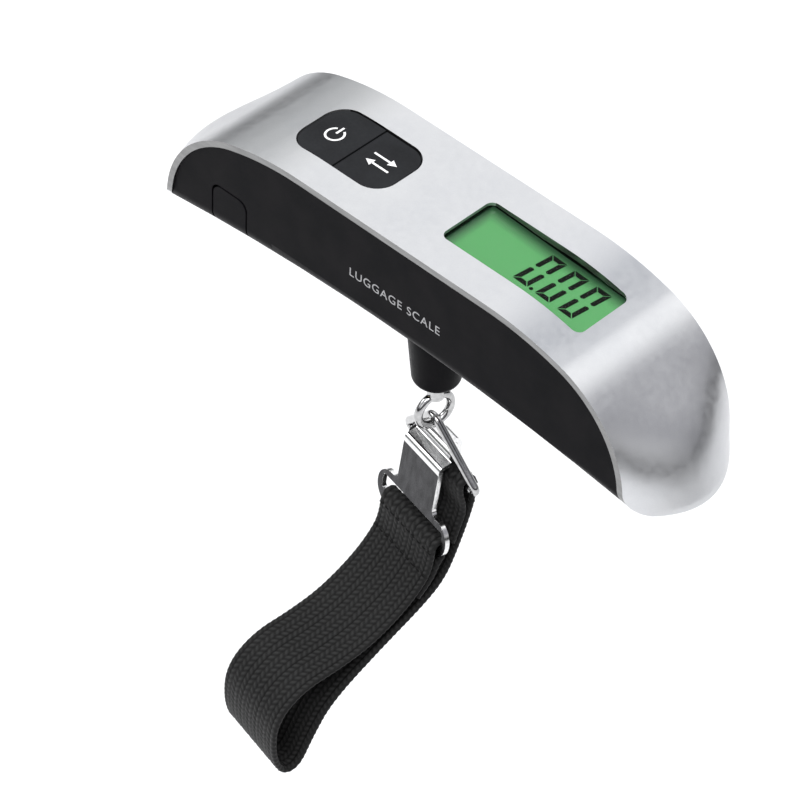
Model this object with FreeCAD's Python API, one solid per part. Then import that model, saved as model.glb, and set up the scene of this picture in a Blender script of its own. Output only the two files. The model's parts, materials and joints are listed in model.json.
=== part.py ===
import FreeCAD, Part
import math
import os

# Handheld luggage scale: a grip body with an arched cover, a stem, and a webbing loop on a wire ring.
# Millimetres. Origin at the centre of the grip's bowed underside, +Z up, +X along the grip,
# -Y the side that faces the user.

V = FreeCAD.Vector

# grip
LENGTH = 140.0              # along the two long top edges; the ends swell out past it
WIDTH = 35.0
HEIGHT = 28.5
FLAT_HALF = 28.0            # half length of the level crown
SHOULDER_R = 75.0
SHOULDER_ANGLE = math.radians(17)
TIP_ANGLE = math.radians(84)
SWELL = 8.6                 # how far each end bulges at its middle
SWELL_FROM = 0.3            # the part of the way down the end where the bulge begins
END_ROWS = 10               # rows of points that shape one end
FOOT_RUN = 9.0              # straight run below the end's arc
UNDERSIDE_R = 520.0         # the underside is bowed, its two ends lower
COVER_T = 1.6
COVER_FOOT_RISE = 0.3       # the cover's end edges stand this far above the underside
SEAM = 0.05                 # air between the cover and the case
CASE_INSET = 0.6            # the case's side stands this far inside the cover's edge
CASE_T = 1.8
FLOOR_T = 2.2
BELLY_R = 5.0               # rounding along the lower edges
FIT = 0.3                   # gap round the keys
DOOR_FIT = 0.45             # gap round the battery door, wide enough for a fingernail at its tab
BELOW = -10.0               # a height safely under the whole grip
DEEP = 60.0                 # how far down the blocks under the outline reach

# stem below the grip
STEM_BOTTOM = -24.3
STEM_BORE_R = 3.52
BUSH_R = 3.5
SHANK_R = 2.0
SHANK_CLEAR = 0.05

# keys
KEY_X0, KEY_X1, KEY_SPLIT = -40.4, -12.6, -26.5
KEY_HALF_Y = 8.7
KEY_CORNER_R = 5.5
KEY_RECESS = 0.3
KEY_FLANGE = 1.2
KEY_T = 2.6
KEY_PITCH_X = (-33.5, -19.5)

# display
WINDOW_X0, WINDOW_X1 = 6.1, 46.8
WINDOW_HALF_Y = 8.3
WINDOW_R = 2.0
DISPLAY_TILT = 3.0          # degrees, the right end lower
LENS_TOP = 26.6
LENS_T, LCD_T, LIGHT_T = 0.8, 1.4, 1.2
LENS_LAP = 1.5

# circuit board
BOARD_TOP = 20.6
BOARD_T = 1.2
BOARD_HALF_X, BOARD_HALF_Y = 44.0, 13.0
POST_X, POST_Y = 40.0, 11.0

# load cell
BEAM_X0, BEAM_X1 = -6.5, 46.0
BEAM_HALF_Y = 6.0
BEAM_Z0, BEAM_Z1 = 8.0, 15.0
BEAM_SCREWS_X = (37.0, 43.0)

# battery
CELL_X = -47.0
CELL_R, CELL_T, CELL_Z = 10.0, 3.2, 1.9
DOOR_X0, DOOR_X1 = -58.0, -36.0
DOOR_FRONT_Y, DOOR_BACK_Y = -11.8, 11.5
DOOR_T = 1.6
TAB_X0, TAB_X1, TAB_TOP = -55.5, -45.0, 10.0

# case screws
SCREW_X, SCREW_Y = 61.5, 8.5

# wire ring and eye
YAW = -12.0                 # degrees, how far the ring hangs turned about the stem
WIRE_R = 1.05
EYE_R = 4.5
EYE_Z = -33.6
WIRE_GAP = 0.05
RING_HALF = 15.15           # half of the base between the sharp corners
RING_CORNER_R = 1.4
RING_TILT = 11.63           # degrees, the base swung towards +Y
RING_DROP = 15.88           # from the apex to the base bar
APEX_Z = EYE_Z - EYE_R + 2 * WIRE_R + WIRE_GAP
BAR_Y = RING_DROP * math.sin(math.radians(RING_TILT))
BAR_Z = APEX_Z - RING_DROP * math.cos(math.radians(RING_TILT))

# hook plate
PLATE_T = 1.2
PLATE_X = -1.2
PLATE_UPPER_HALF = 7.1
PLATE_LOWER_HALF = 14.0
PLATE_LEAN = 7.0            # degrees
PLATE_TOP_Y, PLATE_TOP_Z = -1.6, -49.4
NECK_DROP = 12.0            # from the fold down to where the plate widens
PLATE_DROP = 22.0
SLOT_TOP, SLOT_BOTTOM = 14.0, 18.2
SLOT_HALF, SLOT_R = 12.1, 0.8
EAR_R = 4.8
CREST_HALF, CREST_Y = 6.0, 1.3    # the crest over the ring is narrower than the plate, from here back
HOOK_TIP_HALF = 2.5         # half width of the hook's turned-down tip

# webbing
STRAP_W = 22.0
STRAP_X = -0.3
STRAP_T = 1.5
STITCH_R = 0.35
STITCH_PITCH = 2.6


def box(x0, x1, y0, y1, z0, z1):
    return Part.makeBox(x1 - x0, y1 - y0, z1 - z0, V(x0, y0, z0))


def rod(r, z0, z1, x=0.0, y=0.0):
    return Part.makeCylinder(r, z1 - z0, V(x, y, z0))


def rounded_prism(x0, x1, y0, y1, r, z0, z1):
    """A box whose four upright edges are rounded."""
    solid = box(x0, x1, y0, y1, z0, z1)
    upright = [e for e in solid.Edges if abs(e.tangentAt(e.FirstParameter).z) > 0.99]
    return solid.makeFillet(r, upright)


def on_circle(centre, radius, angle):
    """A point (x, z) on a circle, the angle measured from straight up."""
    return centre[0] + radius * math.sin(angle), centre[1] + radius * math.cos(angle)


def shoulder_circle():
    return (FLAT_HALF, HEIGHT - SHOULDER_R), SHOULDER_R


def tip_circle():
    """The circle that carries the side outline from the shoulder down to the foot."""
    knee_x, knee_z = on_circle(*shoulder_circle(), SHOULDER_ANGLE)
    radius = (LENGTH / 2 - knee_x) / (math.sin(TIP_ANGLE) - math.sin(SHOULDER_ANGLE))
    return (knee_x - radius * math.sin(SHOULDER_ANGLE), knee_z - radius * math.cos(SHOULDER_ANGLE)), radius


def arch_block(inset, half_y):
    """Everything under the level crown and its two shoulders, down to well below the grip."""
    centre, radius = shoulder_circle()
    crown = V(FLAT_HALF, -half_y, HEIGHT - inset)
    (mx, mz), (kx, kz) = (on_circle(centre, radius - inset, SHOULDER_ANGLE * part) for part in (0.5, 1.0))
    right = [crown, V(mx, -half_y, mz), V(kx, -half_y, kz), V(kx, -half_y, kz - DEEP)]
    left = [V(-p.x, p.y, p.z) for p in right]
    edges = [Part.LineSegment(left[0], right[0]).toShape(),
             Part.Arc(*right[:3]).toShape(),
             Part.LineSegment(right[2], right[3]).toShape(),
             Part.LineSegment(right[3], left[3]).toShape(),
             Part.LineSegment(left[3], left[2]).toShape(),
             Part.Arc(left[2], left[1], left[0]).toShape()]
    return Part.Face(Part.Wire(edges)).extrude(V(0, 2 * half_y, 0))


def end_block(inset, half_y, side):
    """Everything under one end of the grip, from the shoulder out, swollen along its middle."""
    centre, radius = tip_circle()
    arc_run = radius * (TIP_ANGLE - SHOULDER_ANGLE)
    rows = []
    for i in range(END_ROWS + 1):
        along = i / END_ROWS
        travel = (arc_run + FOOT_RUN) * along
        angle = min(SHOULDER_ANGLE + travel / radius, TIP_ANGLE)
        x, z = on_circle(centre, radius - inset, angle)
        below = max(travel - arc_run, 0)
        row = []
        for j in range(-3, 4):
            y = half_y * j / 3
            grown = max(along - SWELL_FROM, 0) / (1 - SWELL_FROM)
            out = SWELL * grown ** 2 * (3 - 2 * grown) * (1 - (2 * y / WIDTH) ** 2)
            row.append(V(side * (x + out * math.sin(angle) + below * math.cos(angle)), y,
                         z + out * math.cos(angle) - below * math.sin(angle)))
        rows.append(row)
    skin = Part.BSplineSurface()
    skin.interpolate(rows)
    return skin.toShape().extrude(V(0, 0, -DEEP))


def dome(inset, half_y):
    """Everything under the whole arched outline, moved inwards by inset."""
    return arch_block(inset, half_y).fuse([end_block(inset, half_y, side) for side in (-1, 1)])


def over_underside(rise, half_y):
    """Everything above the bowed underside, raised by rise."""
    half_x = LENGTH / 2 + 2 * SWELL
    drop = UNDERSIDE_R - math.sqrt(UNDERSIDE_R ** 2 - half_x ** 2)
    ends = [V(sx * half_x, -half_y, rise - drop) for sx in (-1, 1)]
    tops = [V(p.x, p.y, HEIGHT + 20) for p in ends]
    edges = [Part.Arc(ends[0], V(0, -half_y, rise), ends[1]).toShape(),
             Part.LineSegment(ends[1], tops[1]).toShape(),
             Part.LineSegment(tops[1], tops[0]).toShape(),
             Part.LineSegment(tops[0], ends[0]).toShape()]
    return Part.Face(Part.Wire(edges)).extrude(V(0, 2 * half_y, 0))


def belly_section(rise, half_y, radius):
    """Everything between the grip's two long sides and above its underside, the lower edges rounded."""
    section = over_underside(rise, half_y)
    lower = [e for e in section.Edges if e.Length > LENGTH and e.CenterOfMass.z < HEIGHT]
    return section.makeFillet(radius, lower)


def corner_data(before, at, after, radius):
    """Tangent points, middle point and centre of the arc that rounds a corner of a flat path."""
    a, b = (before - at).normalize(), (after - at).normalize()
    half = a.getAngle(b) / 2
    reach = radius / math.tan(half)
    inward = (a + b).normalize()
    centre = at + inward * (radius / math.sin(half))
    return at + a * reach, centre - inward * radius, at + b * reach, centre


def band(route, thickness, x0, x1):
    """A strip that follows a route of (y, z) points with every corner rounded, wide from x0 to x1."""
    pts = [V(x0, y, z) for y, z in route]
    sides = {1: [], -1: []}
    ends = {1: [], -1: []}
    h = thickness / 2
    normals = [V(1, 0, 0).cross(q - p).normalize() for p, q in zip(pts, pts[1:])]
    for side in sides:
        here = pts[0] + normals[0] * h * side
        ends[side].append(here)
        for i in range(1, len(pts) - 1):
            reach = 0.45 * min((pts[i] - pts[i - 1]).Length, (pts[i + 1] - pts[i]).Length)
            a, b = pts[i - 1] - pts[i], pts[i + 1] - pts[i]
            radius = reach * math.tan(a.getAngle(b) / 2)
            start, middle, end, centre = corner_data(pts[i - 1], pts[i], pts[i + 1], radius)
            shift = [start + normals[i - 1] * h * side, None, end + normals[i] * h * side]
            outward = (middle - centre).normalize()
            sign = 1 if outward.dot(normals[i - 1] * side) > 0 else -1
            shift[1] = middle + outward * h * sign
            sides[side].append(Part.LineSegment(here, shift[0]).toShape())
            sides[side].append(Part.Arc(*shift).toShape())
            here = shift[2]
        last = pts[-1] + normals[-1] * h * side
        sides[side].append(Part.LineSegment(here, last).toShape())
        ends[side].append(last)
    caps = [Part.LineSegment(ends[1][k], ends[-1][k]).toShape() for k in (0, 1)]
    outline = Part.Wire(Part.__sortEdges__(sides[1] + sides[-1] + caps))
    return Part.Face(outline).extrude(V(x1 - x0, 0, 0))


def on_display(shape):
    """Lay a display layer, drawn level, on the display's slope."""
    middle = V((WINDOW_X0 + WINDOW_X1) / 2, 0, LENS_TOP)
    shape.rotate(middle, V(0, 1, 0), DISPLAY_TILT)
    return shape


def display_layer(top, thickness, lap_x, half_y, r):
    z1 = LENS_TOP - top
    return on_display(rounded_prism(WINDOW_X0 - lap_x, WINDOW_X1 + lap_x, -half_y, half_y, r,
                                    z1 - thickness, z1))


def hang(shape):
    """Turn a piece drawn square on to the grip to the way the ring hangs."""
    shape.rotate(V(0, 0, 0), V(0, 0, 1), YAW)
    return shape


# ---- grip shells -------------------------------------------------------------------------------

def screw_places():
    return [(sx * SCREW_X, sy * SCREW_Y) for sx in (-1, 1) for sy in (-1, 1)]


def make_window_lens():
    return display_layer(0.0, LENS_T, LENS_LAP, WINDOW_HALF_Y + LENS_LAP, WINDOW_R)


def make_top_cover():
    half = WIDTH / 2
    shell = dome(0.0, half).cut(dome(COVER_T, half + 1))
    shell = shell.common(belly_section(COVER_FOOT_RISE, half, BELLY_R + CASE_INSET))
    under = dome(COVER_T - 0.2, half)
    for x, y in screw_places():
        boss = rod(2.3, 9.0, HEIGHT, x, y).common(under)
        shell = shell.fuse(boss).cut(rod(1.02, 8.0, 14.0, x, y))
    key_hole = rounded_prism(KEY_X0 - FIT, KEY_X1 + FIT, -KEY_HALF_Y - FIT, KEY_HALF_Y + FIT,
                             KEY_CORNER_R + FIT, 0, HEIGHT + 5)
    window = rounded_prism(WINDOW_X0, WINDOW_X1, -WINDOW_HALF_Y, WINDOW_HALF_Y, WINDOW_R, 0, HEIGHT + 5)
    rebate = display_layer(-SEAM, LENS_T + 5, LENS_LAP + SEAM, WINDOW_HALF_Y + LENS_LAP + SEAM, WINDOW_R)
    return shell.cut(key_hole).cut(window).cut(rebate)


def case_envelope():
    """The outside of the grip's lower case, without its stem."""
    half = WIDTH / 2 - CASE_INSET
    return dome(COVER_T + SEAM, half).common(belly_section(0.0, half, BELLY_R))


def stem():
    """The tapered stem, flared where it meets the grip and rounded at its foot."""
    flare, waist, foot = 10.6, 7.3, 5.9
    foot_round = 2.2
    p = [V(0, 0, 1), V(flare, 0, 1), V(flare, 0, 0.0)]
    edges = [Part.LineSegment(p[0], p[1]).toShape(), Part.LineSegment(p[1], p[2]).toShape()]
    knee, mid = V(waist, 0, -9.0), V(waist + 0.75, 0, -3.6)
    edges.append(Part.Arc(p[2], mid, knee).toShape())
    low = V(foot, 0, STEM_BOTTOM + foot_round)
    edges.append(Part.LineSegment(knee, low).toShape())
    turn = V(foot - foot_round * (1 - math.sqrt(0.5)), 0, STEM_BOTTOM + foot_round * (1 - math.sqrt(0.5)))
    base = V(foot - foot_round, 0, STEM_BOTTOM)
    edges.append(Part.Arc(low, turn, base).toShape())
    axis_foot = V(0, 0, STEM_BOTTOM)
    edges.append(Part.LineSegment(base, axis_foot).toShape())
    edges.append(Part.LineSegment(axis_foot, p[0]).toShape())
    return Part.Face(Part.Wire(edges)).revolve(V(0, 0, 0), V(0, 0, 1), 360)


def door_shape(gap):
    """The battery door, grown sideways by gap where the case is cut for it."""
    plate = rounded_prism(DOOR_X0 - gap, DOOR_X1 + gap, DOOR_FRONT_Y - gap, DOOR_BACK_Y + gap, 2.0,
                          BELOW, DOOR_T + gap)
    front = -WIDTH / 2 - gap
    neck = box(TAB_X0 - gap, TAB_X1 + gap, front, DOOR_FRONT_Y + 1, BELOW, DOOR_T + gap)
    tab = box(TAB_X0 - gap, TAB_X1 + gap, front, -WIDTH / 2 + CASE_INSET + CASE_T + gap,
              BELOW, TAB_TOP + gap)
    top_edges = [e for e in tab.Edges if abs(e.tangentAt(e.FirstParameter).y) > 0.99
                 and e.CenterOfMass.z > 1]
    return plate.fuse([neck, tab.makeFillet(2.6, top_edges)]).removeSplitter()


def make_lower_case():
    inner_y = WIDTH / 2 - CASE_INSET - CASE_T
    shell = case_envelope()
    cavity = dome(COVER_T + SEAM + CASE_T, inner_y).common(
        box(-LENGTH, LENGTH, -WIDTH, WIDTH, FLOOR_T, HEIGHT))
    mouth = box(-54, 54, -inner_y, inner_y, FLOOR_T, HEIGHT + 1)
    shell = shell.cut(cavity).cut(mouth).fuse(stem())
    posts = [rod(2.0, FLOOR_T - 0.5, BOARD_TOP - BOARD_T, sx * POST_X, sy * POST_Y)
             for sx in (-1, 1) for sy in (-1, 1)]
    posts += [rod(2.6, FLOOR_T - 0.5, 8.9, x, y) for x, y in screw_places()]
    posts.append(box(33.5, BEAM_X1, -5, 5, FLOOR_T - 0.5, BEAM_Z0))
    posts.append(rod(CELL_R + 1.6, FLOOR_T - 0.5, CELL_Z + CELL_T - 0.1, CELL_X))
    for post in posts:
        shell = shell.fuse(post)
    shell = shell.cut(rod(CELL_R + 0.3, BELOW, FLOOR_T + 10, CELL_X))
    shell = shell.cut(box(CELL_X + CELL_R, CELL_X + CELL_R + 3, 0, 3.6, FLOOR_T, BEAM_Z0))
    shell = shell.cut(door_shape(DOOR_FIT))
    shell = shell.cut(rod(STEM_BORE_R, STEM_BOTTOM - 1, FLOOR_T + 1))
    for x, y in screw_places():
        shell = shell.cut(rod(1.3, BELOW, 10, x, y)).cut(rod(2.4, BELOW, 1.4, x, y))
        shell = shell.cut(rod(2.6, 8.9, HEIGHT, x, y))
    for x in BEAM_SCREWS_X:
        shell = shell.cut(rod(1.25, 3.0, 9, x))
    for sx in (-1, 1):
        for sy in (-1, 1):
            shell = shell.cut(rod(0.82, 12, 25, sx * POST_X, sy * POST_Y))
    return shell.removeSplitter()


def make_battery_door():
    return door_shape(0.0).common(case_envelope()).removeSplitter()


# ---- keys --------------------------------------------------------------------------------------

def make_key(x0, x1, plunger_x):
    skin = arch_block(KEY_RECESS, 30)
    cap_block = rounded_prism(KEY_X0, KEY_X1, -KEY_HALF_Y, KEY_HALF_Y, KEY_CORNER_R, 18, HEIGHT + 5)
    flange_block = rounded_prism(KEY_X0 - KEY_FLANGE, KEY_X1 + KEY_FLANGE, -KEY_HALF_Y - KEY_FLANGE,
                                 KEY_HALF_Y + KEY_FLANGE, KEY_CORNER_R, 18, HEIGHT + 5)
    side = box(x0, x1, -20, 20, 0, HEIGHT + 9)
    cap = cap_block.common(skin).cut(arch_block(KEY_T, 31))
    flange = flange_block.common(arch_block(COVER_T + FIT, 30)).cut(arch_block(KEY_T, 31))
    pin = rod(1.6, 24.1, 26.5, plunger_x)
    return cap.fuse(flange).common(side).fuse(pin).removeSplitter()


def make_power_key():
    return make_key(KEY_X0 - 5, KEY_SPLIT - FIT / 2, KEY_PITCH_X[0])


def make_unit_key():
    return make_key(KEY_SPLIT + FIT / 2, KEY_X1 + 5, KEY_PITCH_X[1])


def make_key_membrane():
    skirt = rounded_prism(KEY_X0, KEY_X1, -7.5, 7.5, 3, BOARD_TOP, 23.0)
    skirt = skirt.cut(rounded_prism(KEY_X0 + 1.2, KEY_X1 - 1.2, -6.3, 6.3, 2, BOARD_TOP - 1, 22.4))
    for x in KEY_PITCH_X:
        skirt = skirt.fuse(rod(3.0, 22.6, 23.2, x))
    return skirt.removeSplitter()


def make_tact_switches():
    switches = []
    for x in KEY_PITCH_X:
        body = box(x - 2.3, x + 2.3, -2.3, 2.3, BOARD_TOP, BOARD_TOP + 1.2)
        switches.append(body.fuse(rod(1.2, BOARD_TOP + 1.0, BOARD_TOP + 1.6, x)))
    return Part.makeCompound(switches)


# ---- display and board -------------------------------------------------------------------------

def make_lcd_glass():
    return display_layer(LENS_T + SEAM, LCD_T, -0.2, 8.6, 0.5)


def make_lcd_backlight():
    return display_layer(LENS_T + LCD_T + 2 * SEAM, LIGHT_T, -0.6, 6.8, 0.5)


def make_zebra_strip():
    strip = box(WINDOW_X0 + 2, WINDOW_X1 - 2, 7.1, 8.5, BOARD_TOP, LENS_TOP + 3)
    below = display_layer(LENS_T + LCD_T + 2 * SEAM, 20, 5, 12, 0.5)
    return strip.common(below)


def make_circuit_board():
    board = rounded_prism(-BOARD_HALF_X, BOARD_HALF_X, -BOARD_HALF_Y, BOARD_HALF_Y, 1.5,
                          BOARD_TOP - BOARD_T, BOARD_TOP)
    for sx in (-1, 1):
        for sy in (-1, 1):
            board = board.cut(rod(1.0, BOARD_TOP - 3, BOARD_TOP + 1, sx * POST_X, sy * POST_Y))
    return board


def make_board_screws():
    z = BOARD_TOP
    screws = [rod(1.5, z, z + 0.7, sx * POST_X, sy * POST_Y)
              .fuse(rod(0.8, z - 5, z + 0.3, sx * POST_X, sy * POST_Y))
              for sx in (-1, 1) for sy in (-1, 1)]
    return Part.makeCompound(screws)


def make_chip_blob():
    ball_r, depth = 6.0, 1.3
    under = BOARD_TOP - BOARD_T
    ball = Part.makeSphere(ball_r, V(20, 0, under + ball_r - depth))
    return ball.common(box(10, 30, -10, 10, 0, under))


# ---- load cell and its fixings -----------------------------------------------------------------

def make_load_cell():
    beam = box(BEAM_X0, BEAM_X1, -BEAM_HALF_Y, BEAM_HALF_Y, BEAM_Z0, BEAM_Z1)
    mid_z = (BEAM_Z0 + BEAM_Z1) / 2
    for x in (15.0, 24.0):
        beam = beam.cut(Part.makeCylinder(2.6, 40, V(x, -20, mid_z), V(0, 1, 0)))
    beam = beam.cut(box(15, 24, -20, 20, mid_z - 0.8, mid_z + 0.8))
    beam = beam.cut(rod(2.3, BEAM_Z0 - 1, BEAM_Z1 + 1))
    for x in BEAM_SCREWS_X:
        beam = beam.cut(rod(1.4, BEAM_Z0 - 1, BEAM_Z1 + 1, x))
    return beam


def make_strain_gauges():
    gauge_t = 0.2
    gauges = []
    for x in (15.0, 24.0):
        for z in (BEAM_Z0 - gauge_t, BEAM_Z1):
            gauges.append(box(x - 3, x + 3, -2, 2, z, z + gauge_t))
    return Part.makeCompound(gauges)


def make_load_cell_screws():
    return Part.makeCompound([rod(2.3, BEAM_Z1, BEAM_Z1 + 1.8, x).fuse(rod(1.2, 3.5, BEAM_Z1 + 0.5, x))
                              for x in BEAM_SCREWS_X])


def make_sensor_ribbon():
    """The flat lead from the upper gauges to the board."""
    under = BOARD_TOP - BOARD_T
    lead = band([(-25.0, BEAM_Z1 + 0.45), (-29.5, BEAM_Z1 + 0.45), (-31.5, 17.2), (-31.5, under)],
                0.4, -1.6, 1.6)
    lead.rotate(V(0, 0, 0), V(0, 0, 1), 90)
    return lead


# ---- battery -----------------------------------------------------------------------------------

def make_coin_cell():
    cell = rod(CELL_R, CELL_Z, CELL_Z + CELL_T, CELL_X)
    rims = [e for e in cell.Edges if e.Length > 50]
    return cell.makeFillet(0.5, rims)


def make_contact_negative():
    """A leaf spring across the cell's face that rises to the board."""
    top = CELL_Z + CELL_T + 0.25
    leaf = band([(48.0, top), (34.4, top), (31.5, 9.0), (31.5, BOARD_TOP - BOARD_T)], 0.4, -6.0, -2.5)
    leaf.rotate(V(0, 0, 0), V(0, 0, 1), 90)
    return leaf


def make_contact_positive():
    x = CELL_X + CELL_R + 0.08
    blade = box(x, x + 0.4, 0.3, 3.3, FLOOR_T + 0.3, BOARD_TOP - BOARD_T)
    return blade


# ---- fasteners ---------------------------------------------------------------------------------

def make_case_screws():
    screws = []
    for x, y in screw_places():
        head = rod(2.1, 0.3, 1.35, x, y)
        cross = box(x - 1.3, x + 1.3, y - 0.25, y + 0.25, 0, 0.8).fuse(
            box(x - 0.25, x + 0.25, y - 1.3, y + 1.3, 0, 0.8))
        screws.append(head.cut(cross).fuse(rod(1.0, 1.2, 13.5, x, y)))
    return Part.makeCompound(screws)


# ---- eye, bush, nut ----------------------------------------------------------------------------

def make_stem_bush():
    return rod(BUSH_R, STEM_BOTTOM + 0.3, FLOOR_T).cut(
        rod(SHANK_R + SHANK_CLEAR, STEM_BOTTOM, FLOOR_T + 1))


def make_load_eye():
    loop = Part.makeTorus(EYE_R, WIRE_R, V(0, 0, EYE_Z), V(1, 0, 0))
    shank = rod(SHANK_R, EYE_Z + EYE_R - 0.5, 19.0)
    hole = Part.makeCylinder(EYE_R - WIRE_R, 10, V(-5, 0, EYE_Z), V(1, 0, 0))
    return hang(loop.fuse(shank.cut(hole)).removeSplitter())


def make_eye_washer():
    z = BEAM_Z1 + 0.12
    return rod(4.2, z, z + 0.7).cut(rod(SHANK_R + 0.01, z - 1, z + 2))


def make_eye_nut():
    z0, z1 = BEAM_Z1 + 0.84, 18.2
    across = 7.0
    corners = [V(across / math.sqrt(3) * math.cos(math.radians(60 * k)),
                 across / math.sqrt(3) * math.sin(math.radians(60 * k)), z0) for k in range(7)]
    prism = Part.Face(Part.makePolygon(corners)).extrude(V(0, 0, z1 - z0))
    return prism.cut(rod(SHANK_R + 0.01, z0 - 1, z1 + 1))


# ---- wire ring ---------------------------------------------------------------------------------

def swept_wire(points, radii):
    """A round wire bent through a closed flat run of points, each corner with its own radius."""
    count = len(points)
    data = [corner_data(points[k - 1], points[k], points[(k + 1) % count], radii[k]) for k in range(count)]
    solid = None
    for k in range(count):
        start, middle, end, centre = data[k]
        direction = (start - points[k - 1]).normalize()
        disc = Part.Face(Part.Wire(Part.makeCircle(WIRE_R, start, direction)))
        axis = (start - centre).cross(end - centre)
        angle = math.degrees((start - centre).getAngle(end - centre))
        bend = disc.revolve(centre, axis, angle)
        run_start = data[k - 1][2]
        run = Part.makeCylinder(WIRE_R, (start - run_start).Length, run_start, start - run_start)
        solid = bend.fuse(run) if solid is None else solid.fuse(bend).fuse(run)
    return solid


def make_triangle_ring():
    apex_r = 2 * WIRE_R + WIRE_GAP
    centre_z = APEX_Z - apex_r
    base_z = APEX_Z - RING_DROP
    rise = centre_z - base_z
    reach = math.hypot(RING_HALF, rise)
    slope = math.atan2(rise, RING_HALF) + math.asin(apex_r / reach)
    sharp_z = base_z + RING_HALF * math.tan(slope)
    corners = [V(0, 0, sharp_z), V(RING_HALF, 0, base_z), V(-RING_HALF, 0, base_z)]
    ring = swept_wire(corners, [apex_r, RING_CORNER_R, RING_CORNER_R])
    ring.rotate(V(0, 0, APEX_Z), V(1, 0, 0), RING_TILT)
    return hang(ring)


# ---- hook plate and webbing --------------------------------------------------------------------

def plate_outline():
    """The flat plate seen square on: a neck that widens to two rounded ears."""
    up, low = PLATE_UPPER_HALF, PLATE_LOWER_HALF
    half_t = PLATE_T / 2
    neck = box(-up, up, -half_t, half_t, -NECK_DROP - 1, 0)
    ears = box(-low, low, -half_t, half_t, -PLATE_DROP, -NECK_DROP)
    rounds = [e for e in ears.Edges if abs(e.tangentAt(e.FirstParameter).y) > 0.99]
    plate = neck.fuse(ears.makeFillet(EAR_R, rounds)).removeSplitter()
    inner = [e for e in plate.Edges if abs(e.tangentAt(e.FirstParameter).y) > 0.99
             and abs(abs(e.CenterOfMass.x) - up) < 0.1 and e.CenterOfMass.z < -5]
    return plate.makeFillet(1.6, inner)


def make_hook_plate():
    slot = box(-SLOT_HALF, SLOT_HALF, -2, 2, -SLOT_BOTTOM, -SLOT_TOP)
    slot = slot.makeFillet(SLOT_R, [e for e in slot.Edges if abs(e.tangentAt(e.FirstParameter).y) > 0.99])
    flat = plate_outline().cut(slot)
    flat.translate(V(0, PLATE_TOP_Y, PLATE_TOP_Z))
    flat.rotate(V(0, PLATE_TOP_Y, PLATE_TOP_Z), V(1, 0, 0), -PLATE_LEAN)
    crest_z = BAR_Z + 6.2
    tip_y = BAR_Y + 3.7
    hook = band([(PLATE_TOP_Y, PLATE_TOP_Z), (PLATE_TOP_Y + 0.1, BAR_Z + 3.6), (1.9, BAR_Z + 4.3),
                 (2.4, crest_z), (tip_y, crest_z), (tip_y, BAR_Z + 0.8)],
                PLATE_T, -PLATE_UPPER_HALF, PLATE_UPPER_HALF)
    for half_x, y in ((CREST_HALF, CREST_Y), (HOOK_TIP_HALF, BAR_Y + 1.6)):
        for side in (-1, 1):
            outer = sorted((side * half_x, side * LENGTH))
            hook = hook.cut(box(*outer, y, LENGTH, BAR_Z - 10, 0))
    plate = flat.fuse(hook).removeSplitter()
    plate.translate(V(PLATE_X, 0, 0))
    return hang(plate)


# the route of the webbing, from its sewn front end round the slot bar, down the front,
# through the fold at the foot, up the back and round the ring's base bar
STRAP_ROUTE = [(-9.4, -82.1), (-5.9, -78.1), (-4.4, -74.0), (-2.4, -71.0), (-2.1, -66.4),
               (-5.55, -66.4), (-6.0, -72.5), (-7.5, -77.2), (-13.2, -84.0), (-22.5, -90.6),
               (-31.5, -93.6), (-41.5, -95.6), (-48.6, -102.5), (-49.3, -113.5), (-46.8, -121.6),
               (-42.2, -121.9), (-38.4, -113.2), (-33.2, -104.0), (-19.2, -92.9), (-8.0, -84.9),
               (-2.2, -79.0), (1.2, -70.0), (4.6, -59.0), (BAR_Y + 1.95, BAR_Z - 2.4),
               (BAR_Y + 1.95, BAR_Z + 1.95), (BAR_Y - 1.95, BAR_Z + 1.95), (BAR_Y - 1.9, BAR_Z - 2.2),
               (2.9, -59.2), (0.9, -65.2), (-0.1, -68.6)]


def make_strap():
    return hang(band(STRAP_ROUTE, STRAP_T, STRAP_X - STRAP_W / 2, STRAP_X + STRAP_W / 2))


def make_strap_stitching():
    """Rows of short stitches through the doubled webbing."""
    rows = [(-6.95, -74.2), (-10.9, -80.1), (5.0, -60.4), (3.1, -66.2)]
    count = int(STRAP_W / STITCH_PITCH)
    stitches = []
    for y, z in rows:
        for k in range(count):
            x = STRAP_X + (k - (count - 1) / 2) * STITCH_PITCH
            stitches.append(Part.makeCylinder(STITCH_R, 1.7, V(x - 0.85, y, z), V(1, 0, 0)))
    return hang(Part.makeCompound(stitches))


NODES = {
    "top_cover": make_top_cover,
    "lower_case": make_lower_case,
    "battery_door": make_battery_door,
    "power_key": make_power_key,
    "unit_key": make_unit_key,
    "key_membrane": make_key_membrane,
    "tact_switches": make_tact_switches,
    "window_lens": make_window_lens,
    "lcd_glass": make_lcd_glass,
    "lcd_backlight": make_lcd_backlight,
    "zebra_strip": make_zebra_strip,
    "circuit_board": make_circuit_board,
    "board_screws": make_board_screws,
    "chip_blob": make_chip_blob,
    "load_cell": make_load_cell,
    "strain_gauges": make_strain_gauges,
    "load_cell_screws": make_load_cell_screws,
    "sensor_ribbon": make_sensor_ribbon,
    "coin_cell": make_coin_cell,
    "contact_negative": make_contact_negative,
    "contact_positive": make_contact_positive,
    "case_screws": make_case_screws,
    "stem_bush": make_stem_bush,
    "load_eye": make_load_eye,
    "eye_washer": make_eye_washer,
    "eye_nut": make_eye_nut,
    "triangle_ring": make_triangle_ring,
    "hook_plate": make_hook_plate,
    "strap": make_strap,
    "strap_stitching": make_strap_stitching,
}

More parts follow.
